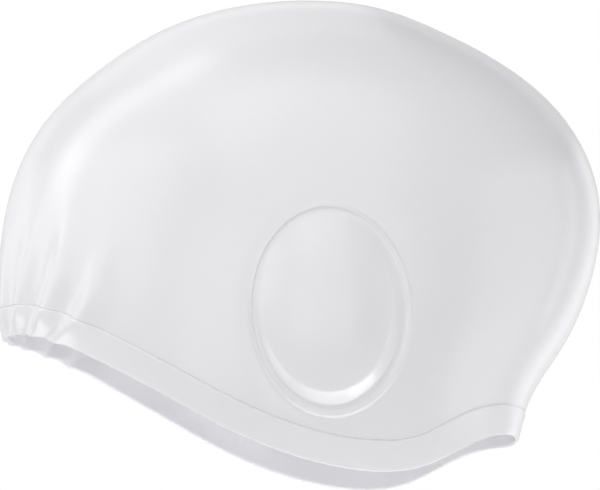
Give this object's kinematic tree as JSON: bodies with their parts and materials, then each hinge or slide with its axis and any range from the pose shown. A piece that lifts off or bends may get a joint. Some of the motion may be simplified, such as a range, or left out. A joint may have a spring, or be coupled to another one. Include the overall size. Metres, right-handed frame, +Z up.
{
  "type": "swim cap",
  "caption": "Seamless moulded swim cap in its worn shape, with raised oval ear pockets, soft gathers at the forehead and a thickened rim band.",
  "frame": {"origin": "inside of the crown's top, where the cap sits on the top of a head", "axes": "+Z up, -Y towards the forehead, +X towards the wearer's left"},
  "size_m": [0.174, 0.2165, 0.1728],
  "materials": {
    "silicone": "smooth satin white moulded silicone"
  },
  "bodies": {
    "root": {"cap_shell": "silicone"}
  },
  "joints": []
}
